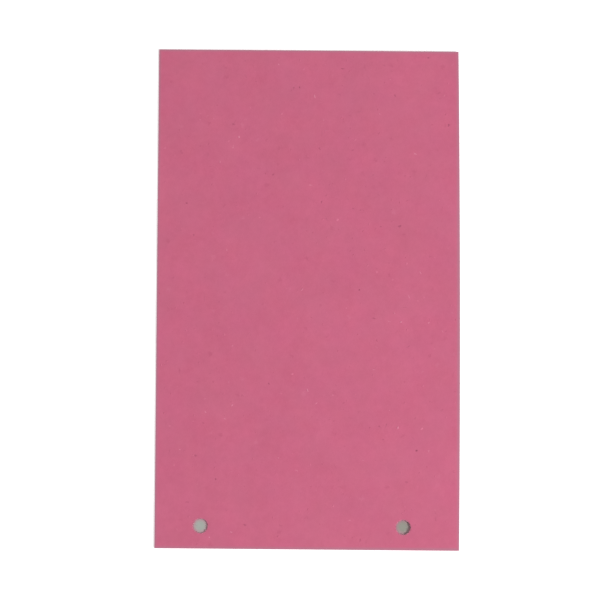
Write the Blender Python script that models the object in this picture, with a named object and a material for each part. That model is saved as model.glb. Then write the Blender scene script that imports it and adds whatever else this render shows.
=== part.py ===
"""A filing divider: one sheet of dyed card with two filing holes punched near a short edge.

The card lies flat on its underside. +X runs along its short edge, +Y away from the punched edge
and +Z out of its upper face. The origin is the centre of the underside. All sizes are in metres.
"""

import bmesh
import bpy
from mathutils import Matrix, Vector

# The sheet, as it leaves the guillotine.
CARD_WIDTH = 0.120
CARD_LENGTH = 0.200
CARD_THICKNESS = 0.00045

# The filing holes, to the usual two-hole pattern: 6 mm, give or take 0.5 mm, and 80 mm apart.
HOLE_DIAMETER = 0.0057
HOLE_PITCH = 0.080
HOLE_TO_PUNCHED_EDGE = 0.009
FIRST_HOLE_TO_LEFT_EDGE = 0.018
HOLE_SEGMENTS = 64

# The punch runs this far past both faces, so that it cuts right through.
PUNCH_OVERRUN = 0.002

# The card's own finish: pink pulp, dyed right through, with a dull uncoated surface.
CARD_COLOUR = (0.527, 0.127, 0.212, 1.0)
CARD_ROUGHNESS = 0.9


def clear_scene():
    """Remove whatever the file opened with."""
    for obj in list(bpy.data.objects):
        bpy.data.objects.remove(obj, do_unlink=True)


def hole_centres():
    """Centres of the two filing holes, in the plane of the sheet."""
    first = Vector((
        FIRST_HOLE_TO_LEFT_EDGE - CARD_WIDTH / 2,
        HOLE_TO_PUNCHED_EDGE - CARD_LENGTH / 2,
        0.0,
    ))
    return [first, first + Vector((HOLE_PITCH, 0.0, 0.0))]


def card_material():
    """Dull pink card."""
    material = bpy.data.materials.new("dyed_card")
    material.use_nodes = True
    shader = material.node_tree.nodes["Principled BSDF"]
    shader.inputs["Base Color"].default_value = CARD_COLOUR
    shader.inputs["Roughness"].default_value = CARD_ROUGHNESS
    shader.inputs["Metallic"].default_value = 0.0
    return material


def add_object(name, shape):
    """Turn a bmesh into an object in the scene, and free the bmesh."""
    mesh = bpy.data.meshes.new(name)
    shape.to_mesh(mesh)
    shape.free()
    obj = bpy.data.objects.new(name, mesh)
    bpy.context.scene.collection.objects.link(obj)
    return obj


def card_blank():
    """The plain sheet before punching, with its underside at z = 0."""
    shape = bmesh.new()
    size = Matrix.Diagonal((CARD_WIDTH, CARD_LENGTH, CARD_THICKNESS, 1.0))
    lift = Matrix.Translation((0.0, 0.0, CARD_THICKNESS / 2))
    bmesh.ops.create_cube(shape, size=1.0, matrix=lift @ size)
    return add_object("divider_card", shape)


def punch(name, centre):
    """A round cutter standing through the sheet at one hole's centre."""
    shape = bmesh.new()
    bmesh.ops.create_cone(
        shape,
        cap_ends=True,
        segments=HOLE_SEGMENTS,
        radius1=HOLE_DIAMETER / 2,
        radius2=HOLE_DIAMETER / 2,
        depth=CARD_THICKNESS + 2 * PUNCH_OVERRUN,
        matrix=Matrix.Translation((0.0, 0.0, CARD_THICKNESS / 2)),
    )
    cutter = add_object(name, shape)
    cutter.location = centre
    cutter.hide_render = True
    cutter.display_type = "WIRE"
    return cutter


def build_divider_card():
    """The one physical piece: a blank sheet with both holes punched out of it."""
    card = card_blank()
    card.data.materials.append(card_material())
    for number, centre in enumerate(hole_centres(), start=1):
        cut = card.modifiers.new(f"punch_{number}", "BOOLEAN")
        cut.operation = "DIFFERENCE"
        cut.solver = "EXACT"
        cut.object = punch(f"punch_{number}", centre)
    return card


clear_scene()
build_divider_card()
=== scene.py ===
"""The looks of a filing divider: one sheet of dyed card with two filing holes, lying on a table.

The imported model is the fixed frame: +X runs along the short edge, +Y away from the punched edge
and +Z out of the upper face. Lengths are in metres, and MM turns millimetres into them.

The sheet is rebuilt on the frame's own box, with the slight curl that a card takes up, the cut
edges that a guillotine and a punch leave, and the fibres, knots and shives of its pulp.
"""

from __future__ import annotations

import logging
import math
from dataclasses import dataclass, field
from enum import Enum
from typing import Any, ClassVar

import bmesh
import bpy
import numpy as np
from bpy.types import Material, Mesh, Node, NodeSocket, NodeTree, Object
from mathutils import Matrix, Vector, noise
from mathutils.geometry import delaunay_2d_cdt

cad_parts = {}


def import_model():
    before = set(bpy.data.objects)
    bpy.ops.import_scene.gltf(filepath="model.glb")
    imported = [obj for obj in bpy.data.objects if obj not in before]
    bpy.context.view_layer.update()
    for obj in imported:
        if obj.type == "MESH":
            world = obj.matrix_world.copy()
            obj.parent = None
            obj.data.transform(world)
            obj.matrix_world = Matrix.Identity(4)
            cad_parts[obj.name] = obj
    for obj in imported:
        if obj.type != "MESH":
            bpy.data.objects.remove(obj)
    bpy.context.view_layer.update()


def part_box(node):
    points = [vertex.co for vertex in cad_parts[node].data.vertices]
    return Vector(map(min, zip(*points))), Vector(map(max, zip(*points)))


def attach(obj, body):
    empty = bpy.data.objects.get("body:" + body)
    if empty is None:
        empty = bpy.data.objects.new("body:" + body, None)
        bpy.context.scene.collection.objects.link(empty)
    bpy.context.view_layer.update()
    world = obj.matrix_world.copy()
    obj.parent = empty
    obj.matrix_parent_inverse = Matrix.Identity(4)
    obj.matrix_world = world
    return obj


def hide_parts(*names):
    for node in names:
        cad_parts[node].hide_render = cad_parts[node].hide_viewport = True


log = logging.getLogger("divider_card")

MM = 0.001
BODY = "root"
CAD_NODE = "divider_card"


# Small helpers


def linear(hex_colour: str) -> tuple[float, float, float, float]:
    """Turn an sRGB hex colour into the linear colour that a shader works in.

    Args:
        hex_colour: Six hex digits after a hash, such as "#C0647E".

    Returns:
        Red, green, blue and an alpha of 1, all linear.
    """
    digits = hex_colour.lstrip("#")
    channels = [int(digits[i : i + 2], 16) / 255 for i in (0, 2, 4)]
    red, green, blue = (
        c / 12.92 if c <= 0.04045 else ((c + 0.055) / 1.055) ** 2.4 for c in channels
    )
    return red, green, blue, 1.0


def feed(node: Node, inputs: dict[str | int, Any]) -> None:
    """Link or set a node's inputs.

    Args:
        node: The node.
        inputs: Input sockets by name or number. A value that is a socket is linked.
    """
    for key, value in inputs.items():
        if isinstance(value, NodeSocket):
            node.id_data.links.new(value, node.inputs[key])
        else:
            node.inputs[key].default_value = value


def add_node(
    tree: NodeTree, kind: str, settings: dict[str, Any] | None = None,
    inputs: dict[str | int, Any] | None = None
) -> Node:
    """Add a node with its settings, its constant inputs and the links into it.

    Args:
        tree: The node tree that the node joins.
        kind: The node's Blender type name.
        settings: Properties of the node itself, set before its inputs.
        inputs: Input sockets by name or number. A value that is a socket is linked.

    Returns:
        The new node.
    """
    node = tree.nodes.new(kind)
    for name, value in (settings or {}).items():
        setattr(node, name, value)
    feed(node, inputs or {})
    return node


def new_material(name: str) -> tuple[Material, NodeTree, Node, NodeSocket]:
    """Start a material.

    Args:
        name: The material's name.

    Returns:
        The material, its node tree, its shader, and the place on the object in metres.
    """
    material = bpy.data.materials.new(name)
    material.use_nodes = True
    tree = material.node_tree
    place = add_node(tree, "ShaderNodeTexCoord").outputs["Object"]
    return material, tree, tree.nodes["Principled BSDF"], place


def scale_for(size: float) -> float:
    """Pattern scale whose features are this many metres across."""
    return 1.0 / size


def new_object(name: str, mesh: Mesh) -> Object:
    """Put a mesh into the scene as an object at the origin.

    Args:
        name: The object's name.
        mesh: Its mesh, already in place.

    Returns:
        The new object.
    """
    obj = bpy.data.objects.new(name, mesh)
    bpy.context.scene.collection.objects.link(obj)
    return obj


def smoothed(mesh: Mesh, crease_degrees: float) -> None:
    """Shade a mesh smooth, apart from edges that turn by more than an angle.

    Args:
        mesh: The mesh to shade.
        crease_degrees: The least turn of an edge that stays crisp.
    """
    shape = bmesh.new()
    shape.from_mesh(mesh)
    limit = math.radians(crease_degrees)
    for face in shape.faces:
        face.smooth = True
    for edge in shape.edges:
        edge.smooth = len(edge.link_faces) != 2 or edge.calc_face_angle() < limit
    shape.to_mesh(mesh)
    shape.free()


# Finishes


@dataclass(frozen=True)
class DyedCardStock:
    """Uncoated pulp card, dyed in the vat and pressed between felts.

    To the eye it is dull and faintly woolly. The pulp is cloudy at the scale of a fingertip, its
    fibres lie mostly along the machine's run, and the dye takes a little unevenly, so that the
    pink drifts between a warmer and a cooler shade.
    """

    centre: Vector
    half_width: float
    half_length: float
    name: str = "uncoated_dyed_card"
    deep_pink: str = "#B1506B"
    full_pink: str = "#BF5D79"
    pale_pink: str = "#CE6884"
    cool_pink: str = "#BA5D87"
    grey_pink: str = "#B3647A"
    # Greyed pink of the painted shade along the outline.
    edge_shade_pink: str = "#A27384"
    roughness: float = 0.92
    ior: float = 1.47
    specular: float = 0.3
    sheen: float = 0.12
    sheen_roughness: float = 0.6
    cloud_size: float = 26 * MM
    blotch_size: float = 7 * MM
    floc_size: float = 2.2 * MM
    fibre_length: float = 1.5 * MM
    fibre_width: float = 0.32 * MM
    felt_size: float = 0.55 * MM
    waver_size: float = 1.1 * MM
    waver: float = 1.3 * MM
    relief: float = 0.02 * MM
    # Width and strength of the painted shade along the outline.
    rim_width: float = 1.3 * MM
    edge_shade_strength: float = 0.65

    # Directions of the three lays of fibre, in degrees from the machine's run.
    FIBRE_TURNS: ClassVar[tuple[float, float, float]] = (12.0, 71.0, -38.0)

    # Specks and stains: colour, shift of the pattern, spacing, share of cells that hold one,
    # radius and core as shares of the spacing and the radius, and strength.
    FLECKS: ClassVar[tuple[tuple[Any, ...], ...]] = (
        ("#DB92A6", (0.0, 0.0, 0.0), 2.6 * MM, 0.10, 0.16, 0.5, 0.36),
        ("#8E3C58", (0.7, 0.3, 0.1), 3.1 * MM, 0.15, 0.19, 0.4, 0.26),
        ("#A64965", (0.4, 0.8, 0.5), 5.5 * MM, 0.34, 0.28, 0.1, 0.32),
        ("#D27E98", (0.9, 0.6, 0.2), 6.0 * MM, 0.26, 0.24, 0.1, 0.15)
    )

    def fibre_field(self, tree: NodeTree, place: NodeSocket, turn: float) -> NodeSocket:
        """Noise drawn out along one direction, like fibres that lie that way.

        Args:
            tree: The material's node tree.
            place: The place on the card.
            turn: The direction of the fibres, in degrees from the machine's run along Y.

        Returns:
            The noise, from 0 to 1 around 0.5.
        """
        turned = add_node(
            tree, "ShaderNodeMapping", {"vector_type": "TEXTURE"},
            {
                "Vector": place, "Rotation": (0.0, 0.0, math.radians(turn)),
                "Scale": (self.fibre_width, self.fibre_length, self.fibre_width)
            }
        )
        fibres = add_node(
            tree, "ShaderNodeTexNoise", None,
            {
                "Vector": turned.outputs["Vector"], "Scale": 1.0, "Detail": 2.0, "Roughness": 0.55,
                "Distortion": 0.6
            }
        )
        return fibres.outputs["Fac"]

    def cloudiness(
        self, tree: NodeTree, place: NodeSocket, size: float, detail: float
    ) -> NodeSocket:
        """Even noise with patches of about one size.

        Args:
            tree: The material's node tree.
            place: The place on the card.
            size: How far apart the patches are.
            detail: How many finer layers the noise has.

        Returns:
            The noise, from 0 to 1 around 0.5.
        """
        patches = add_node(
            tree, "ShaderNodeTexNoise", None,
            {"Vector": place, "Scale": scale_for(size), "Detail": detail, "Roughness": 0.6}
        )
        return patches.outputs["Fac"]

    def weighted_sum(self, tree: NodeTree, parts: list[tuple[NodeSocket, float]]) -> NodeSocket:
        """Add up patterns around their middle value of 0.5.

        Args:
            tree: The material's node tree.
            parts: Each pattern with its weight.

        Returns:
            0.5 plus each weight times its pattern's distance from 0.5.
        """
        start = 0.5 - 0.5 * sum(weight for _, weight in parts)
        total: float | NodeSocket = start
        for pattern, weight in parts:
            step = add_node(
                tree, "ShaderNodeMath", {"operation": "MULTIPLY_ADD"},
                {0: pattern, 1: weight, 2: total}
            )
            total = step.outputs[0]
        return total

    def specks(
        self, tree: NodeTree, place: NodeSocket, spacing: float, share: float, reach: float,
        core: float
    ) -> NodeSocket:
        """Small specks in a share of a pattern's cells.

        Args:
            tree: The material's node tree.
            place: The place on the card.
            spacing: How far apart the cells are.
            share: The share of cells that hold a speck.
            reach: A speck's radius, as a share of the spacing.
            core: The share of the radius inside which a speck is at its strongest.

        Returns:
            1 inside a speck and 0 outside, with a soft rim.
        """
        cells = add_node(
            tree, "ShaderNodeTexVoronoi", None, {"Vector": place, "Scale": scale_for(spacing)}
        )
        draw = add_node(tree, "ShaderNodeSeparateColor", None, {"Color": cells.outputs["Color"]})
        chosen = add_node(
            tree, "ShaderNodeMath", {"operation": "GREATER_THAN"},
            {0: draw.outputs["Red"], 1: 1.0 - share}
        )
        size = add_node(
            tree, "ShaderNodeMapRange", None,
            {"Value": draw.outputs["Green"], "To Min": 0.45 * reach, "To Max": reach}
        )
        spot = add_node(
            tree, "ShaderNodeMath", {"operation": "DIVIDE"},
            {0: cells.outputs["Distance"], 1: size.outputs["Result"]}
        )
        soft = add_node(
            tree, "ShaderNodeMapRange", {"interpolation_type": "SMOOTHSTEP"},
            {
                "Value": spot.outputs[0], "From Min": core, "From Max": 1.0, "To Min": 1.0,
                "To Max": 0.0
            }
        )
        kept = add_node(
            tree, "ShaderNodeMath", {"operation": "MULTIPLY"},
            {0: soft.outputs["Result"], 1: chosen.outputs[0]}
        )
        return kept.outputs[0]

    def wavered(self, tree: NodeTree, place: NodeSocket) -> NodeSocket:
        """Shift each place a little by noise, so that round patterns turn ragged.

        Args:
            tree: The material's node tree.
            place: The place on the card.

        Returns:
            The shifted place.
        """
        noise_field = add_node(
            tree, "ShaderNodeTexNoise", None,
            {"Vector": place, "Scale": scale_for(self.waver_size), "Detail": 1.0}
        )
        shift = add_node(
            tree, "ShaderNodeVectorMath", {"operation": "MULTIPLY_ADD"},
            {0: noise_field.outputs["Color"], 1: (2 * self.waver, 2 * self.waver, 0.0), 2: place}
        )
        return shift.outputs["Vector"]

    def tinted(
        self, tree: NodeTree, under: NodeSocket, over: str, share: NodeSocket, strength: float
    ) -> NodeSocket:
        """Lay a colour over another where a pattern says.

        Args:
            tree: The material's node tree.
            under: The colour below.
            over: The colour on top, as sRGB hex.
            share: Where the top colour lies, from 0 to 1.
            strength: How much of it shows there.

        Returns:
            The mixed colour.
        """
        amount = add_node(
            tree, "ShaderNodeMath", {"operation": "MULTIPLY"}, {0: share, 1: strength}
        )
        mixed = add_node(
            tree, "ShaderNodeMix", {"data_type": "RGBA"},
            {0: amount.outputs[0], 6: under, 7: linear(over)}
        )
        return mixed.outputs[2]

    def painted_edge_shade(self, tree: NodeTree, place: NodeSocket) -> NodeSocket:
        """A thin greyed rim along the outline: painted shade that darkens the card where it meets
        the table.

        Args:
            tree: The material's node tree.
            place: The place on the card.

        Returns:
            1 at the outline, fading to 0 within the rim's width.
        """
        centred = add_node(
            tree, "ShaderNodeMapping", None, {"Vector": place, "Location": tuple(-self.centre)}
        )
        parts = add_node(
            tree, "ShaderNodeSeparateXYZ", None, {"Vector": centred.outputs["Vector"]}
        )
        near = []
        for axis, half in (("X", self.half_width), ("Y", self.half_length)):
            out = add_node(
                tree, "ShaderNodeMath", {"operation": "ABSOLUTE"}, {0: parts.outputs[axis]}
            )
            fade = add_node(
                tree, "ShaderNodeMapRange", {"interpolation_type": "SMOOTHSTEP"},
                {"Value": out.outputs[0], "From Min": half - self.rim_width, "From Max": half}
            )
            near.append(fade.outputs["Result"])
        nearest = add_node(
            tree, "ShaderNodeMath", {"operation": "MAXIMUM"}, {0: near[0], 1: near[1]}
        )
        return nearest.outputs[0]

    def build(self) -> Material:
        """Make the material.

        Returns:
            The finished material.
        """
        material, tree, shader, place = new_material(self.name)

        along, across, leaning = (self.fibre_field(tree, place, turn) for turn in self.FIBRE_TURNS)
        cloud = self.cloudiness(tree, place, self.cloud_size, 1.0)
        blotch = self.cloudiness(tree, place, self.blotch_size, 1.0)
        floc = self.cloudiness(tree, place, self.floc_size, 2.0)

        tone = self.weighted_sum(
            tree,
            [
                (cloud, 0.20), (blotch, 0.19), (floc, 0.21), (along, 0.15), (across, 0.10),
                (leaning, 0.12)
            ]
        )
        dye = add_node(tree, "ShaderNodeValToRGB", None, {"Fac": tone})
        ramp = dye.color_ramp
        ramp.interpolation = "B_SPLINE"
        ramp.elements[0].position = 0.18
        ramp.elements[0].color = linear(self.deep_pink)
        ramp.elements[1].position = 0.82
        ramp.elements[1].color = linear(self.pale_pink)
        middle = ramp.elements.new(0.5)
        middle.color = linear(self.full_pink)

        colour = dye.outputs["Color"]
        for tint, size, where, strength in (
            (self.cool_pink, 1.8 * self.blotch_size, (0.2, 0.5, 0.9), 0.15),
            (self.grey_pink, 1.9 * self.blotch_size, (0.6, 0.1, 0.4), 0.27)
        ):
            elsewhere = add_node(
                tree, "ShaderNodeMapping", None, {"Vector": place, "Location": where}
            )
            drift = self.cloudiness(tree, elsewhere.outputs["Vector"], size, 2.0)
            drifting = add_node(
                tree, "ShaderNodeMapRange", None, {"Value": drift, "From Min": 0.3, "From Max": 0.7}
            )
            colour = self.tinted(tree, colour, tint, drifting.outputs["Result"], strength)
        ragged = self.wavered(tree, place)
        for fleck, where, spacing, share, reach, core, strength in self.FLECKS:
            shifted = add_node(
                tree, "ShaderNodeMapping", None, {"Vector": ragged, "Location": where}
            )
            spots = self.specks(tree, shifted.outputs["Vector"], spacing, share, reach, core)
            colour = self.tinted(tree, colour, fleck, spots, strength)
        # Painted shade: a thin greyed band darkens the card along its whole outline.
        rim = self.painted_edge_shade(tree, place)
        colour = self.tinted(tree, colour, self.edge_shade_pink, rim, self.edge_shade_strength)

        felt = self.cloudiness(tree, place, self.felt_size, 3.0)
        height = self.weighted_sum(
            tree, [(felt, 0.5), (along, 0.45), (leaning, 0.35), (floc, 0.5)]
        )
        bump = add_node(
            tree, "ShaderNodeBump", None,
            {"Strength": 0.5, "Distance": self.relief, "Height": height}
        )
        feed(
            shader,
            {
                "Base Color": colour, "Normal": bump.outputs["Normal"],
                "Roughness": self.roughness, "IOR": self.ior, "Specular IOR Level": self.specular,
                "Sheen Weight": self.sheen, "Sheen Roughness": self.sheen_roughness
            }
        )
        return material


@dataclass(frozen=True)
class CutCardEdge:
    """The section of the card where a blade or a punch went through.

    It shows the sheet's plies as fine level streaks, a little paler and rougher than the pressed
    faces, because the cut opens the fibres.
    """

    name: str
    pressed_skin: str = "#B45873"
    open_core: str = "#D68AA0"
    roughness: float = 0.97
    specular: float = 0.2
    ply: float = 0.07 * MM
    streak_length: float = 1.1 * MM
    relief: float = 0.02 * MM

    def build(self) -> Material:
        """Make the material.

        Returns:
            The finished material.
        """
        material, tree, shader, place = new_material(self.name)
        levels = add_node(
            tree, "ShaderNodeMapping", {"vector_type": "TEXTURE"},
            {"Vector": place, "Scale": (self.streak_length, self.streak_length, self.ply)}
        )
        plies = add_node(
            tree, "ShaderNodeTexNoise", None,
            {"Vector": levels.outputs["Vector"], "Scale": 1.0, "Detail": 3.0}
        )
        core = add_node(
            tree, "ShaderNodeMix", {"data_type": "RGBA"},
            {0: plies.outputs["Fac"], 6: linear(self.pressed_skin), 7: linear(self.open_core)}
        )
        bump = add_node(
            tree, "ShaderNodeBump", None,
            {"Strength": 0.7, "Distance": self.relief, "Height": plies.outputs["Fac"]}
        )
        feed(
            shader,
            {
                "Base Color": core.outputs[2], "Normal": bump.outputs["Normal"],
                "Roughness": self.roughness, "Specular IOR Level": self.specular
            }
        )
        return material


@dataclass(frozen=True)
class FibreFinish:
    """A fibre, knot or shive in the pulp: the same dull cellulose in its own depth of dye."""

    name: str
    shade: str
    other_shade: str
    roughness: float = 0.85
    specular: float = 0.25
    variation_size: float = 3 * MM

    def build(self) -> Material:
        """Make the material.

        Returns:
            The finished material.
        """
        material, tree, shader, place = new_material(self.name)
        uneven = add_node(
            tree, "ShaderNodeTexNoise", None,
            {"Vector": place, "Scale": scale_for(self.variation_size), "Detail": 2.0}
        )
        spread = add_node(
            tree, "ShaderNodeMapRange", None,
            {"Value": uneven.outputs["Fac"], "From Min": 0.3, "From Max": 0.7}
        )
        dyed = add_node(
            tree, "ShaderNodeMix", {"data_type": "RGBA"},
            {0: spread.outputs["Result"], 6: linear(self.shade), 7: linear(self.other_shade)}
        )
        feed(
            shader,
            {
                "Base Color": dyed.outputs[2], "Roughness": self.roughness,
                "Specular IOR Level": self.specular
            }
        )
        return material


# The sheet


class Ground(Enum):
    """The kinds of surface that the sheet has, by the number of their material slot."""

    FACES = 0
    CUT_EDGES = 1
    HOLE_WALLS = 2


@dataclass(frozen=True)
class HolePattern:
    """Two filing holes along the punched edge, by the usual two-hole pattern."""

    diameter: float = 5.7 * MM
    pitch: float = 80 * MM
    to_punched_edge: float = 9 * MM
    to_left_edge: float = 18 * MM

    def centres(self, low: Vector) -> list[Vector]:
        """Centres of both holes.

        Args:
            low: The sheet's corner where the left and punched edges meet.

        Returns:
            The left and the right hole's centre, in the plane of the sheet.
        """
        first = Vector((low.x + self.to_left_edge, low.y + self.to_punched_edge))
        return [first, first + Vector((self.pitch, 0.0))]


@dataclass(frozen=True)
class Curl:
    """How far a dry sheet lifts off the table, from 0 at the left edge's corners.

    The right edge and the top edge each rise in a long low bow between their corners, both
    right-hand corners rise a little, and the whole sheet is faintly cockled.
    """

    right_edge_bow: float = 1.4 * MM
    top_edge_bow: float = 0.15 * MM
    far_corner_lift: float = 0.7 * MM
    punched_corner_lift: float = 0.55 * MM
    cockle: float = 0.07 * MM
    cockle_length: float = 46 * MM
    rim_dip: float = 0.03 * MM
    rim_reach: float = 0.7 * MM

    def cockling(self, x: float, y: float) -> float:
        """Height of the faint waves, never below 0.

        Args:
            x: Place along the short edge.
            y: Place along the long edge.

        Returns:
            The height there.
        """
        broad = noise.noise(Vector((x / self.cockle_length, y / self.cockle_length, 3.7)))
        narrow = noise.noise(
            Vector((2.3 * x / self.cockle_length, 2.3 * y / self.cockle_length, 8.1))
        )
        return self.cockle * max(0.0, 1.0 + broad + 0.35 * narrow)

    def lift(self, x: float, y: float, size: Vector, low: Vector) -> float:
        """Height of the sheet's underside above the table.

        Args:
            x: Place along the short edge.
            y: Place along the long edge.
            size: The flat sheet's size.
            low: The flat sheet's lowest corner.

        Returns:
            The height there.
        """
        across = min(1.0, max(0.0, (x - low.x) / size.x))
        up = min(1.0, max(0.0, (y - low.y) / size.y))
        right = self.right_edge_bow * across**2.6 * (4 * up * (1 - up)) ** 0.8
        top = self.top_edge_bow * up**7 * (4 * across * (1 - across)) ** 0.8
        corner = self.punched_corner_lift * across**1.5 * (1 - up) ** 5
        corner += self.far_corner_lift * across**1.3 * up**5
        return right + top + corner + self.cockling(x, y)

    def dip(self, x: float, y: float, holes: list[Vector], radius: float) -> float:
        """How far the punch dragged the sheet down beside a hole.

        Args:
            x: Place along the short edge.
            y: Place along the long edge.
            holes: The holes' centres.
            radius: Their radius.

        Returns:
            The depth there, which fades away from the rim.
        """
        depth = 0.0
        for hole in holes:
            away = (math.hypot(x - hole.x, y - hole.y) - radius) / self.rim_reach
            depth += self.rim_dip * math.exp(-(away**2))
        return depth


@dataclass(frozen=True)
class CutProfile:
    """The section of a cut edge.

    Attributes:
        roll_width: How far into the face the blade or punch rolled the upper edge over.
        roll_depth: How deep that roll goes.
        burr: The size of the slope at the lower edge.
        tear: How far torn fibre makes the wall stray.
    """

    roll_width: float
    roll_depth: float
    burr: float
    tear: float

    def steps(self, thickness: float) -> list[tuple[float, float]]:
        """Points of the section from the upper face to the underside.

        Args:
            thickness: The sheet's thickness.

        Returns:
            Height above the underside and inset from the true cut, at each point.
        """
        turned = [
            (thickness - self.roll_depth * (1 - math.cos(a)), self.roll_width * (1 - math.sin(a)))
            for a in (math.radians(d) for d in (0, 20, 40, 60, 90))
        ]
        wall = [(thickness * share, 0.0) for share in (0.55, 0.25)]
        return turned + wall + [(self.burr, 0.1 * self.burr), (0.0, self.burr)]


@dataclass
class EdgeLoop:
    """A closed outline in the sheet's plane, with the direction out of the card at each point."""

    points: list[Vector]
    outward: list[Vector]
    cut: CutProfile

    def inset(self, depth: float) -> list[Vector]:
        """The outline moved into the card by a distance."""
        return [p - depth * n for p, n in zip(self.points, self.outward, strict=True)]


@dataclass
class Sheet:
    """The card itself: two faces, a guillotined outline and two punched holes.

    Attributes:
        low: The frame's lowest corner of the card.
        high: The frame's highest corner of the card.
        right_edge_belly: How far the blade bowed out half-way along the right edge.
        run_out: How far out of square the punched edge falls away towards the right.
    """

    low: Vector
    high: Vector
    holes: HolePattern = field(default_factory=HolePattern)
    curl: Curl = field(default_factory=Curl)
    guillotined: CutProfile = CutProfile(0.06 * MM, 0.05 * MM, 0.02 * MM, 0.012 * MM)
    punched: CutProfile = CutProfile(0.32 * MM, 0.17 * MM, 0.03 * MM, 0.05 * MM)
    corner_radius: float = 0.18 * MM
    right_edge_belly: float = 0.42 * MM
    run_out: float = 0.34 * MM
    outline_step: float = 0.5 * MM
    hole_points: int = 96
    face_step: float = 1.35 * MM
    face_margin: float = 0.7 * MM
    tear_size: float = 0.35 * MM

    @property
    def size(self) -> Vector:
        """The flat card's width, length and thickness."""
        return self.high - self.low

    @property
    def hole_radius(self) -> float:
        """Half a filing hole's diameter."""
        return self.holes.diameter / 2

    def outline(self) -> EdgeLoop:
        """The guillotined outline, with its corners very slightly blunted.

        Returns:
            The outline, anticlockwise seen from above.
        """
        radius = self.corner_radius
        centre = (self.low + self.high) / 2
        half_x, half_y = self.size.x / 2 - radius, self.size.y / 2 - radius
        corners = [(half_x, -half_y), (half_x, half_y), (-half_x, half_y), (-half_x, -half_y)]
        points: list[Vector] = []
        outward: list[Vector] = []
        for number, (cx, cy) in enumerate(corners):
            for part in range(6):
                angle = math.radians(90 * (number - 1) + 18 * part)
                ray = Vector((math.cos(angle), math.sin(angle)))
                points.append(Vector((centre.x + cx, centre.y + cy)) + radius * ray)
                outward.append(ray)
            after_x, after_y = corners[(number + 1) % 4]
            facing = math.radians(90 * number)
            side = Vector((math.cos(facing), math.sin(facing)))
            start = points[-1]
            end = Vector((centre.x + after_x, centre.y + after_y)) + radius * side
            count = round((end - start).length / self.outline_step)
            for part in range(1, count):
                points.append(start.lerp(end, part / count))
                outward.append(side)
        return EdgeLoop([self.trimmed(p) for p in points], outward, self.guillotined)

    def trimmed(self, point: Vector) -> Vector:
        """Move a point of the true rectangle to where the guillotine and the punch put it.

        Args:
            point: A point of the outline, or a hole's centre.

        Returns:
            The point, moved by a fraction of a millimetre.
        """
        across = (point.x - self.low.x) / self.size.x
        up = (point.y - self.low.y) / self.size.y
        belly = self.right_edge_belly * max(0.0, across) ** 8 * 4 * up * (1 - up)
        fall = self.run_out * across * (1 - up) ** 3
        return point + Vector((belly, -fall))

    def hole_loop(self, centre: Vector) -> EdgeLoop:
        """One punched hole's outline.

        Args:
            centre: The hole's centre.

        Returns:
            The outline, clockwise seen from above, so the card lies on its left.
        """
        points, outward = [], []
        for number in range(self.hole_points):
            angle = -2 * math.pi * number / self.hole_points
            ray = Vector((math.cos(angle), math.sin(angle)))
            points.append(centre + self.hole_radius * ray)
            outward.append(-ray)
        return EdgeLoop(points, outward, self.punched)

    def inner_points(self, centres: list[Vector]) -> list[Vector]:
        """Points that fill the faces: rings round the holes, and a staggered grid elsewhere.

        Args:
            centres: The holes' centres.

        Returns:
            The points, clear of every outline.
        """
        points: list[Vector] = []
        rings = [self.hole_radius + reach * MM for reach in (0.5, 0.75, 1.1, 1.65, 2.4)]
        for centre in centres:
            for number, radius in enumerate(rings):
                count = round(self.hole_points / (1 + 0.45 * number))
                for part in range(count):
                    angle = 2 * math.pi * (part + 0.5 * (number % 2)) / count
                    points.append(centre + radius * Vector((math.cos(angle), math.sin(angle))))
        margin = self.face_margin
        row_step = self.face_step * math.sqrt(3) / 2
        rows = int((self.size.y - 2 * margin) / row_step)
        columns = int((self.size.x - 2 * margin) / self.face_step)
        for row in range(rows + 1):
            y = self.low.y + margin + (self.size.y - 2 * margin) * row / rows
            for column in range(columns + 1):
                shift = 0.5 * (row % 2)
                x = self.low.x + margin + (column + shift) * self.face_step
                clear = all(
                    math.hypot(x - c.x, y - c.y) > rings[-1] + 0.5 * self.face_step
                    for c in centres
                )
                if clear and x < self.high.x - margin:
                    points.append(Vector((x, y)))
        return points

    def height(self, x: float, y: float, centres: list[Vector]) -> float:
        """Height of the sheet's underside at a place, with its curl and the punch's dip."""
        dip = self.curl.dip(x, y, centres, self.hole_radius)
        return self.low.z + self.curl.lift(x, y, self.size, self.low) - dip + self.curl.rim_dip

    def build(self, face: Material, edge: Material, hole_wall: Material) -> Object:
        """Make the sheet as one closed mesh, with its finishes in the order of Ground.

        Args:
            face: The finish of both faces.
            edge: The finish of the guillotined edges.
            hole_wall: The finish of the punched holes' walls.

        Returns:
            The sheet's object.
        """
        centres = [self.trimmed(c) for c in self.holes.centres(self.low)]
        loops = [self.outline(), *(self.hole_loop(c) for c in centres)]
        sides = [loop.cut.steps(self.size.z) for loop in loops]
        flat: list[Vector] = []
        rims: list[list[int]] = []
        for loop, steps in zip(loops, sides, strict=True):
            start = len(flat)
            flat += loop.inset(steps[0][1])
            rims.append(list(range(start, len(flat))))
        constraints = [(rim[i], rim[(i + 1) % len(rim)]) for rim in rims for i in range(len(rim))]
        flat += self.inner_points(centres)
        filled = delaunay_2d_cdt(flat, constraints, [], 0, 1e-9, False)
        plan, triangles = filled[0], filled[2]
        if len(plan) != len(flat):
            raise ValueError("the outline and the inner points of the sheet overlap")
        kept = self.within(triangles, constraints)

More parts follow.
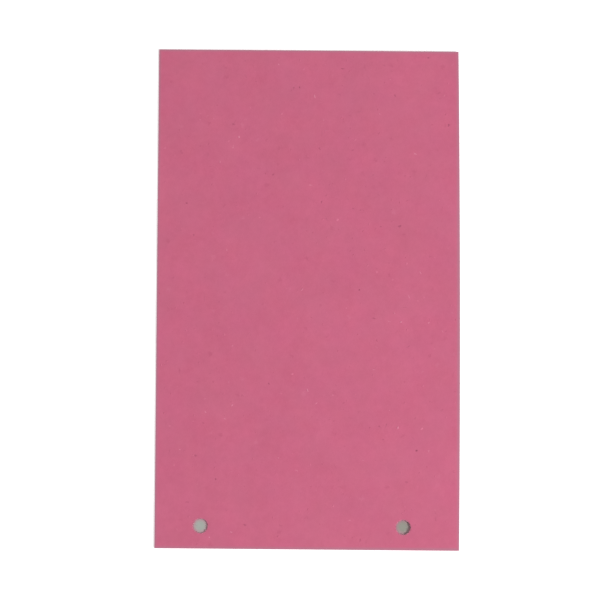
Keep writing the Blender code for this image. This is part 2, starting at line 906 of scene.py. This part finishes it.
        count = len(plan)
        heights = [self.height(p.x, p.y, centres) for p in plan]
        vertices = [(p.x, p.y, h + self.size.z) for p, h in zip(plan, heights, strict=True)]
        vertices += [(p.x, p.y, h) for p, h in zip(plan, heights, strict=True)]
        faces = [tuple(t) for t in kept]
        faces += [tuple(count + i for i in reversed(t)) for t in kept]
        grounds = [Ground.FACES.value] * len(faces)
        for number, (loop, steps, rim) in enumerate(zip(loops, sides, rims, strict=True)):
            last_inset = steps[-1][1]
            under = loop.inset(last_inset)
            for i, p in zip(rim, under, strict=True):
                vertices[count + i] = (p.x, p.y, self.height(p.x, p.y, centres))
            above = rim
            for level, depth in steps[1:-1]:
                ring = []
                for p, n in zip(loop.inset(depth), loop.outward, strict=True):
                    rough = noise.noise(Vector((p.x, p.y, level)) / self.tear_size)
                    q = p + 0.5 * loop.cut.tear * (rough - 1.0) * n
                    ring.append(len(vertices))
                    vertices.append((q.x, q.y, self.height(q.x, q.y, centres) + level))
                faces += self.band(above, ring)
                above = ring
            faces += self.band(above, [count + i for i in rim])
            ground = Ground.HOLE_WALLS if number else Ground.CUT_EDGES
            grounds += [ground.value] * (len(faces) - len(grounds))

        mesh = bpy.data.meshes.new("divider_sheet")
        mesh.from_pydata(vertices, [], faces)
        for finish in (face, edge, hole_wall):
            mesh.materials.append(finish)
        mesh.polygons.foreach_set("material_index", np.array(grounds, np.int32))
        mesh.validate()
        smoothed(mesh, 18.0)
        return new_object("divider_sheet", mesh)

    @staticmethod
    def within(triangles: list[list[int]], walls: list[tuple[int, int]]) -> list[list[int]]:
        """Keep the triangles of the card, and drop those in the holes and past the outline.

        Args:
            triangles: Triangles that cover the card, its holes and a little more.
            walls: The edges of every outline.

        Returns:
            The triangles that can be reached from inside the card without crossing a wall.
        """
        barred = {frozenset(wall) for wall in walls}
        sides = [[frozenset((t[i], t[i - 1])) for i in range(3)] for t in triangles]
        beside: dict[frozenset[int], list[int]] = {}
        for number, around in enumerate(sides):
            for side in around:
                beside.setdefault(side, []).append(number)
        start = max(range(len(triangles)), key=lambda number: max(triangles[number]))
        reached, waiting = {start}, [start]
        while waiting:
            for side in sides[waiting.pop()]:
                if side not in barred:
                    fresh = set(beside[side]) - reached
                    reached |= fresh
                    waiting += fresh
        return [triangles[number] for number in sorted(reached)]

    @staticmethod
    def band(above: list[int], below: list[int]) -> list[tuple[int, int, int, int]]:
        """Join two rings of a cut edge with a band of faces.

        Args:
            above: The upper ring's vertices.
            below: The lower ring's vertices.

        Returns:
            The faces, pointing out of the card.
        """
        turn = len(above)
        return [
            (above[i], below[i], below[(i + 1) % turn], above[(i + 1) % turn]) for i in range(turn)
        ]


# What is in the pulp


class GrainShape(Enum):
    """The shapes that a bit of pulp can have."""

    KNOT = "knot"
    SHIVE = "shive"
    FIBRE = "fibre"


@dataclass(frozen=True)
class GrainTemplate:
    """One bit of pulp, of unit length along X, as a closed mesh."""

    shape: GrainShape

    def build(self) -> Object:
        """Make the bit.

        Returns:
            The template's object, which isn't rendered.
        """
        if self.shape is GrainShape.FIBRE:
            mesh = self.swept(rings=9, sides=5, width=0.045, bend=0.16, blunt=0.35)
        elif self.shape is GrainShape.SHIVE:
            mesh = self.swept(rings=6, sides=6, width=0.30, bend=0.04, blunt=0.65)
        else:
            mesh = self.swept(rings=6, sides=8, width=0.80, bend=0.0, blunt=1.0)
        template = new_object(f"template_{self.shape.value}", mesh)
        template.hide_render = True
        return template

    def swept(self, rings: int, sides: int, width: float, bend: float, blunt: float) -> Mesh:
        """Sweep a round section along a gently bent spine, tapering to both ends.

        Args:
            rings: How many sections stand between the two tips.
            sides: How many sides each section has.
            width: The widest section, as a share of the length.
            bend: How far the spine bows, as a share of the length.
            blunt: The taper's power: the larger, the rounder the middle.

        Returns:
            The closed mesh.
        """
        vertices = [(-0.5, 0.0, 0.0)]
        for ring in range(1, rings + 1):
            along = ring / (rings + 1)
            x = -0.5 * math.cos(math.pi * along)
            half = 0.5 * width * math.sin(math.pi * along) ** blunt
            bow = bend * (0.25 - x * x) * 4 * (1 + 0.5 * x)
            for side in range(sides):
                angle = 2 * math.pi * side / sides
                vertices.append((x, bow + half * math.cos(angle), half * math.sin(angle)))
        tip = len(vertices)
        vertices.append((0.5, 0.0, 0.0))
        faces: list[tuple[int, ...]] = []
        for side in range(sides):
            after = (side + 1) % sides
            faces.append((0, 1 + after, 1 + side))
            for ring in range(rings - 1):
                a, b = 1 + ring * sides, 1 + (ring + 1) * sides
                faces.append((a + side, a + after, b + after, b + side))
            end = 1 + (rings - 1) * sides
            faces.append((end + side, end + after, tip))
        mesh = bpy.data.meshes.new(f"template_{self.shape.value}")
        mesh.from_pydata(vertices, [], faces)
        smoothed(mesh, 80.0)
        shape = bmesh.new()
        shape.from_mesh(mesh)
        bmesh.ops.recalc_face_normals(shape, faces=shape.faces)
        shape.to_mesh(mesh)
        shape.free()
        return mesh


class ScatterTree:
    """The Geometry Nodes tree that strews a template over part of the sheet."""

    INPUTS: tuple[tuple[str, str], ...] = (
        ("Template", "NodeSocketObject"), ("Per Square Metre", "NodeSocketFloat"),
        ("Least Size", "NodeSocketVector"), ("Greatest Size", "NodeSocketVector"),
        ("Greatest Tilt", "NodeSocketFloat"), ("Proud", "NodeSocketFloat"),
        ("Ground", "NodeSocketInt"), ("Middle", "NodeSocketVector"),
        ("Half Reach", "NodeSocketVector"), ("Seed", "NodeSocketInt"),
        ("Finish", "NodeSocketMaterial")
    )

    def __init__(self) -> None:
        """Build the tree once, for every kind of bit to share."""
        self.tree = bpy.data.node_groups.new("strew_pulp_bits", "GeometryNodeTree")
        self.identifiers: dict[str, str] = {}
        face = self.tree.interface
        face.new_socket("Geometry", in_out="INPUT", socket_type="NodeSocketGeometry")
        face.new_socket("Geometry", in_out="OUTPUT", socket_type="NodeSocketGeometry")
        for name, kind in self.INPUTS:
            socket = face.new_socket(name, in_out="INPUT", socket_type=kind)
            self.identifiers[name] = socket.identifier
        self.fill()

    def fill(self) -> None:
        """Add the nodes and their links."""
        tree = self.tree
        given = tree.nodes.new("NodeGroupInput").outputs
        slot = add_node(tree, "GeometryNodeInputMaterialIndex").outputs[0]
        on_ground = add_node(
            tree, "FunctionNodeCompare", {"data_type": "INT", "operation": "EQUAL"},
            {"A": slot, "B": given["Ground"]}
        )
        place = add_node(tree, "GeometryNodeInputPosition").outputs["Position"]
        for operation, other in (
            ("SUBTRACT", given["Middle"]), ("ABSOLUTE", None), ("SUBTRACT", given["Half Reach"])
        ):
            step = add_node(
                tree, "ShaderNodeVectorMath", {"operation": operation},
                {0: place} if other is None else {0: place, 1: other}
            )
            place = step.outputs["Vector"]
        beyond = add_node(tree, "ShaderNodeSeparateXYZ", None, {"Vector": place})
        farthest = add_node(
            tree, "ShaderNodeMath", {"operation": "MAXIMUM"},
            {0: beyond.outputs["X"], 1: beyond.outputs["Y"]}
        )
        inside = add_node(
            tree, "ShaderNodeMath", {"operation": "LESS_THAN"}, {0: farthest.outputs[0], 1: 0.0}
        )
        chosen = add_node(
            tree, "FunctionNodeBooleanMath", {"operation": "AND"},
            {0: on_ground.outputs["Result"], 1: inside.outputs[0]}
        )
        points = add_node(
            tree, "GeometryNodeDistributePointsOnFaces", None,
            {
                "Mesh": given["Geometry"], "Selection": chosen.outputs[0],
                "Density": given["Per Square Metre"], "Seed": given["Seed"]
            }
        )
        size = add_node(
            tree, "FunctionNodeRandomValue", {"data_type": "FLOAT_VECTOR"},
            {0: given["Least Size"], 1: given["Greatest Size"], "Seed": given["Seed"]}
        )
        lean = add_node(
            tree, "ShaderNodeMath", {"operation": "MULTIPLY"}, {0: given["Greatest Tilt"], 1: -1.0}
        )
        low_turn = add_node(
            tree, "ShaderNodeCombineXYZ", None,
            {"X": lean.outputs[0], "Y": lean.outputs[0], "Z": 0.0}
        )
        high_turn = add_node(
            tree, "ShaderNodeCombineXYZ", None,
            {"X": given["Greatest Tilt"], "Y": given["Greatest Tilt"], "Z": 2 * math.pi}
        )
        turn = add_node(
            tree, "FunctionNodeRandomValue", {"data_type": "FLOAT_VECTOR"},
            {0: low_turn.outputs[0], 1: high_turn.outputs[0], "Seed": given["Seed"]}
        )
        spin = add_node(tree, "FunctionNodeEulerToRotation", None, {0: turn.outputs["Value"]})
        laid = add_node(
            tree, "FunctionNodeRotateRotation", {"rotation_space": "LOCAL"},
            {"Rotation": points.outputs["Rotation"], "Rotate By": spin.outputs[0]}
        )
        raised = add_node(
            tree, "ShaderNodeVectorMath", {"operation": "SCALE"},
            {0: points.outputs["Normal"], "Scale": given["Proud"]}
        )
        moved = add_node(
            tree, "GeometryNodeSetPosition", None,
            {"Geometry": points.outputs["Points"], "Offset": raised.outputs[0]}
        )
        template = add_node(tree, "GeometryNodeObjectInfo", None, {"Object": given["Template"]})
        bits = add_node(
            tree, "GeometryNodeInstanceOnPoints", None,
            {
                "Points": moved.outputs["Geometry"], "Instance": template.outputs["Geometry"],
                "Rotation": laid.outputs[0], "Scale": size.outputs["Value"]
            }
        )
        real = add_node(
            tree, "GeometryNodeRealizeInstances", None, {"Geometry": bits.outputs["Instances"]}
        )
        dressed = add_node(
            tree, "GeometryNodeSetMaterial", None,
            {"Geometry": real.outputs["Geometry"], "Material": given["Finish"]}
        )
        result = tree.nodes.new("NodeGroupOutput")
        tree.links.new(dressed.outputs["Geometry"], result.inputs["Geometry"])


@dataclass(frozen=True)
class PulpBits:
    """One kind of bit in the pulp, strewn over the sheet.

    Attributes:
        name: The piece's name.
        shape: The shape of each bit.
        ground: The part of the sheet that the bits are on.
        each_square_metre: How many there are.
        least: The least length, width and height of a bit, in millimetres.
        greatest: The greatest length, width and height of a bit, in millimetres.
        proud: How far a bit's middle stands above the surface.
        tilt: The most that a bit leans, in degrees.
        seed: The seed of their places and sizes.
        finish: What they look like.
    """

    name: str
    shape: GrainShape
    ground: Ground
    each_square_metre: float
    least: tuple[float, float, float]
    greatest: tuple[float, float, float]
    proud: float
    tilt: float
    seed: int
    finish: FibreFinish

    def build(self, sheet: Object, scatter: ScatterTree) -> Object:
        """Strew the bits and keep them as one plain mesh.

        Bits on the faces keep back from the outline by their greatest length. Whole faces of the
        sheet are chosen by their middles, so a few bits still reach just past a cut edge.

        Args:
            sheet: The sheet that they are on.
            scatter: The tree that strews them.

        Returns:
            The piece's object.
        """
        corners = [Vector(corner) for corner in sheet.bound_box]
        half = (corners[6] - corners[0]) / 2
        kept_back = self.greatest[0] * MM if self.ground is Ground.FACES else -half.x
        template = GrainTemplate(self.shape).build()
        carrier = new_object(f"{self.name}_ground", sheet.data.copy())
        strewing = carrier.modifiers.new("strew", "NODES")
        strewing.node_group = scatter.tree
        values: dict[str, Any] = {
            "Template": template, "Per Square Metre": self.each_square_metre,
            "Least Size": tuple(v * MM for v in self.least),
            "Greatest Size": tuple(v * MM for v in self.greatest),
            "Greatest Tilt": math.radians(self.tilt), "Proud": self.proud,
            "Ground": self.ground.value, "Middle": tuple(corners[0] + half),
            "Half Reach": (half.x - kept_back, half.y - kept_back, 0.0), "Seed": self.seed,
            "Finish": self.finish.build()
        }
        for name, value in values.items():
            strewing[scatter.identifiers[name]] = value
        carrier.update_tag()
        bpy.context.view_layer.update()
        graph = bpy.context.evaluated_depsgraph_get()
        mesh = bpy.data.meshes.new_from_object(carrier.evaluated_get(graph), depsgraph=graph)
        mesh.name = self.name
        carrier.modifiers.remove(strewing)
        for spare in (carrier, template):
            bpy.data.objects.remove(spare, do_unlink=True)
        return new_object(self.name, mesh)


@dataclass
class Pulp:
    """Everything in the pulp that shows one by one on the faces and the cut edges."""

    scatter: ScatterTree = field(default_factory=ScatterTree)
    kinds: tuple[PulpBits, ...] = (
        # Tangled fibre that the press couldn't flatten: low mounds in the card's own pink.
        PulpBits(
            "fibre_knots", GrainShape.KNOT, Ground.FACES, 9000,
            (0.45, 0.40, 0.10), (1.10, 0.90, 0.20), -0.01 * MM, 4.0, 11,
            FibreFinish("felted_fibre_knot", "#B85A75", "#C56682"),
        ),
        # The few knots that stand up enough to catch the light on one side.
        PulpBits(
            "raised_knots", GrainShape.KNOT, Ground.FACES, 1500,
            (0.90, 0.90, 0.26), (1.80, 1.60, 0.36), -0.085 * MM, 5.0, 17,
            FibreFinish("felted_raised_knot", "#BB5C77", "#CC6F8A"),
        ),
        # Splinters of wood that took little or no dye.
        PulpBits(
            "pale_shives", GrainShape.SHIVE, Ground.FACES, 700,
            (0.60, 1.20, 0.20), (1.50, 2.40, 0.36), -0.012 * MM, 4.0, 23,
            FibreFinish("undyed_wood_shive", "#C56883", "#D5829A", variation_size=9 * MM),
        ),
        # Splinters of bark and over-dyed fibre.
        PulpBits(
            "dark_shives", GrainShape.SHIVE, Ground.FACES, 1200,
            (0.70, 1.30, 0.16), (1.80, 2.80, 0.30), -0.012 * MM, 3.0, 38,
            FibreFinish("overdyed_wood_shive", "#A5506B", "#B65A75", variation_size=9 * MM),
        ),
        # Long fibres that lie loose on the skin.
        PulpBits(
            "skin_fibres", GrainShape.FIBRE, Ground.FACES, 9000,
            (0.90, 1.00, 0.60), (2.60, 3.20, 1.20), 0.0, 3.0, 41,
            FibreFinish("dyed_surface_fibre", "#C76F8A", "#B45A75"),
        ),
        # Fibre ends that the guillotine teased out of the section.
        PulpBits(
            "cut_fibre_ends", GrainShape.FIBRE, Ground.CUT_EDGES, 900000,
            (0.15, 0.50, 0.50), (0.40, 0.90, 0.90), 0.0, 70.0, 53,
            FibreFinish("teased_cut_fibre", "#C87490", "#B45A75"),
        ),
        # Longer ends that the punch tore and bent into the holes.
        PulpBits(
            "hole_fibre_ends", GrainShape.FIBRE, Ground.HOLE_WALLS, 9000000,
            (0.30, 1.30, 1.20), (0.90, 2.60, 2.20), 0.0, 75.0, 61,
            FibreFinish("torn_hole_fibre", "#E0A3B4", "#C06983", variation_size=2 * MM),
        ),
    )

    def build(self, sheet: Object) -> list[Object]:
        """Strew every kind over the sheet.

        Args:
            sheet: The sheet that they are on.

        Returns:
            One object for each kind.
        """
        return [kind.build(sheet, self.scatter) for kind in self.kinds]


# The studio


@dataclass
class Studio:
    """A bright pale table, a grey blotter under the card, a key light and even light all round.

    The table glows a little, like a light table, so that no shadow shows round the card. The
    blotter lies wholly under the card and shows only through its holes. Its grey darkens from
    the left to the right as painted shade, and round each hole it takes on a painted pink
    reflection of the hole's walls.
    """

    card_low: Vector
    card_high: Vector
    hole_centres: list[Vector]
    table_span: float = 9.0
    table_white: str = "#F2F2F2"
    table_glow: float = 0.34
    # Blotter grey at the card's left and right sides; the darker right is painted shade.
    blotter_left: str = "#A0A59F"
    blotter_right: str = "#8A887D"
    # Painted pink reflection of the holes' walls on the blotter, growing between these distances
    # from each hole's centre.
    pink_reflection_tint: str = "#B28A95"
    reflection_inner: float = 1.2 * MM
    reflection_outer: float = 3.0 * MM
    blotter_margin: float = 4 * MM
    blotter_drop: float = 0.02 * MM
    table_drop: float = 0.05 * MM
    sky: float = 0.62
    key_power: float = 15.0
    key_distance: float = 1.4
    key_span: float = 0.30
    key_height: float = 42.0
    key_side: float = -24.0

    def flat(self, name: str, half_x: float, half_y: float, z: float) -> Object:
        """A level rectangle centred under the card.

        Args:
            name: Its name.
            half_x: Half its width.
            half_y: Half its length.
            z: Its height.

        Returns:
            The rectangle's object.
        """
        middle = (self.card_low + self.card_high) / 2
        corners = [
            (middle.x + sx * half_x, middle.y + sy * half_y, z)
            for sx, sy in ((-1, -1), (1, -1), (1, 1), (-1, 1))
        ]
        mesh = bpy.data.meshes.new(name)
        mesh.from_pydata(corners, [], [(0, 1, 2, 3)])
        sheet = new_object(name, mesh)
        return sheet

    def lay_table(self) -> None:
        """Lay the table and the blotter."""
        table = self.flat(
            "table", self.table_span / 2, self.table_span / 2, self.card_low.z - self.table_drop
        )
        white, _, shader, _ = new_material("glowing_white_acrylic")
        feed(
            shader,
            {
                "Base Color": linear(self.table_white), "Roughness": 0.9,
                "Specular IOR Level": 0.1, "Emission Color": linear("#FFFFFF"),
                "Emission Strength": self.table_glow
            }
        )
        table.data.materials.append(white)

        size = self.card_high - self.card_low
        blotter = self.flat(
            "blotter", size.x / 2 - self.blotter_margin, size.y / 2 - self.blotter_margin,
            self.card_low.z - self.blotter_drop
        )
        grey, tree, shader, place = new_material("grey_blotting_paper")
        mottle = add_node(
            tree, "ShaderNodeTexNoise", None,
            {"Vector": place, "Scale": scale_for(1.5 * MM), "Detail": 3.0}
        )
        # Painted shade: the grey darkens from the card's left edge to its right edge, with a little
        # mottle.
        parts = add_node(tree, "ShaderNodeSeparateXYZ", None, {"Vector": place})
        across = add_node(
            tree, "ShaderNodeMapRange", None,
            {
                "Value": parts.outputs["X"], "From Min": self.card_low.x,
                "From Max": self.card_high.x
            }
        )
        worn = add_node(
            tree, "ShaderNodeMath", {"operation": "MULTIPLY_ADD"},
            {0: mottle.outputs["Fac"], 1: 0.3, 2: -0.15}
        )
        share = add_node(
            tree, "ShaderNodeMath", {"operation": "ADD", "use_clamp": True},
            {0: worn.outputs[0], 1: across.outputs["Result"]}
        )
        toned = add_node(
            tree, "ShaderNodeMix", {"data_type": "RGBA"},
            {0: share.outputs[0], 6: linear(self.blotter_left), 7: linear(self.blotter_right)}
        )
        # Painted pink reflection: the blotter turns pink towards each hole's rim and under the
        # card, as if lit by the pink walls.
        away = []
        for centre in self.hole_centres:
            reach = add_node(
                tree, "ShaderNodeVectorMath", {"operation": "DISTANCE"},
                {0: place, 1: (centre.x, centre.y, self.card_low.z - self.blotter_drop)}
            )
            away.append(reach.outputs["Value"])
        nearest = add_node(
            tree, "ShaderNodeMath", {"operation": "MINIMUM"}, {0: away[0], 1: away[1]}
        )
        reflection_share = add_node(
            tree, "ShaderNodeMapRange", {"interpolation_type": "SMOOTHSTEP"},
            {
                "Value": nearest.outputs[0], "From Min": self.reflection_inner,
                "From Max": self.reflection_outer, "To Max": 0.85
            }
        )
        reflected_tint = add_node(
            tree, "ShaderNodeMix", {"data_type": "RGBA"},
            {0: reflection_share.outputs["Result"], 6: toned.outputs[2], 7: linear(self.pink_reflection_tint)}
        )
        feed(shader, {"Base Color": reflected_tint.outputs[2], "Roughness": 0.95})
        blotter.data.materials.append(grey)

    def light(self) -> None:
        """Hang the key light to the front right, and fill in from all round."""
        height, side = math.radians(self.key_height), math.radians(self.key_side)
        ray = Vector(
            (
                math.cos(height) * math.cos(side), math.cos(height) * math.sin(side),
                math.sin(height)
            )
        )
        lamp = bpy.data.lights.new("softbox", "AREA")
        lamp.shape = "DISK"
        lamp.size = self.key_span
        lamp.energy = self.key_power
        key = bpy.data.objects.new("softbox", lamp)
        bpy.context.scene.collection.objects.link(key)
        key.location = (self.card_low + self.card_high) / 2 + self.key_distance * ray
        key.rotation_euler = ray.to_track_quat("Z", "Y").to_euler()

        world = bpy.data.worlds.new("even_white_room")
        world.use_nodes = True
        sky = world.node_tree.nodes["Background"]
        sky.inputs["Color"].default_value = linear("#FFFFFF")
        sky.inputs["Strength"].default_value = self.sky
        bpy.context.scene.world = world

    def build(self) -> None:
        """Lay the table, light it and set how bright values are shown."""
        self.lay_table()
        self.light()
        shown = bpy.context.scene.view_settings
        shown.view_transform = "Standard"
        shown.look = "None"
        shown.exposure = 0.0
        shown.gamma = 1.0


@dataclass(frozen=True)
class Viewpoint:
    """A long lens high above the card, a little towards its punched edge.

    Attributes:
        eye: Where the lens is, from the middle of the card's upper face.
        aim: The point of the upper face that it looks at, from the same middle.
        roll: How far the camera is turned about its own axis, in degrees.
    """

    eye: Vector = field(default_factory=lambda: Vector((-39.0, -224.8, 1572.6)) * MM)
    aim: Vector = field(default_factory=lambda: Vector((-3.13, -0.94, 0.0)) * MM)
    roll: float = 0.265
    lens: float = 240.0
    sensor: float = 36.0

    def build(self, low: Vector, high: Vector) -> Object:
        """Place the camera over the card.

        Args:
            low: The card's lowest corner.
            high: The card's highest corner.

        Returns:
            The camera's object.
        """
        middle = Vector(((low.x + high.x) / 2, (low.y + high.y) / 2, high.z))
        back = (self.eye - self.aim).normalized()
        right = Vector((0.0, 1.0, 0.0)).cross(back).normalized()
        upward = back.cross(right)
        facing = Matrix((right, upward, back)).transposed().to_4x4()
        turned = facing @ Matrix.Rotation(math.radians(self.roll), 4, "Z")
        data = bpy.data.cameras.new("overhead_camera")
        data.lens = self.lens
        data.sensor_width = self.sensor
        data.clip_start, data.clip_end = 0.05, 30.0
        camera = bpy.data.objects.new("overhead_camera", data)
        bpy.context.scene.collection.objects.link(camera)
        camera.matrix_world = Matrix.Translation(middle + self.eye) @ turned
        bpy.context.scene.camera = camera
        return camera


# Putting it together


def report(piece: Object) -> None:
    """Log a finished piece's name, triangle count and size."""
    mesh = piece.data
    mesh.calc_loop_triangles()
    spans = " x ".join(f"{side / MM:.1f}" for side in piece.dimensions)
    log.info("%s: %d triangles, %s mm", piece.name, len(mesh.loop_triangles), spans)


def main() -> None:
    """Build the studio, the sheet and what is in its pulp, and hang each piece on the frame."""
    logging.basicConfig(level=logging.INFO, format="%(name)s: %(message)s")
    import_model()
    low, high = (Vector(corner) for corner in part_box(CAD_NODE))

    Viewpoint().build(low, high)
    Studio(low, high, HolePattern().centres(low)).build()

    size = high - low
    stock = DyedCardStock((low + high) / 2, size.x / 2, size.y / 2)
    edge = CutCardEdge("guillotined_card_edge")
    wall = CutCardEdge("punched_hole_wall", pressed_skin="#AC526D", open_core="#CF8299")
    sheet = Sheet(low, high).build(stock.build(), edge.build(), wall.build())
    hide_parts(CAD_NODE)
    pieces = [sheet, *Pulp().build(sheet)]
    for piece in pieces:
        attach(piece, BODY)
        report(piece)
    bpy.context.view_layer.update()


if __name__ == "__main__":
    main()
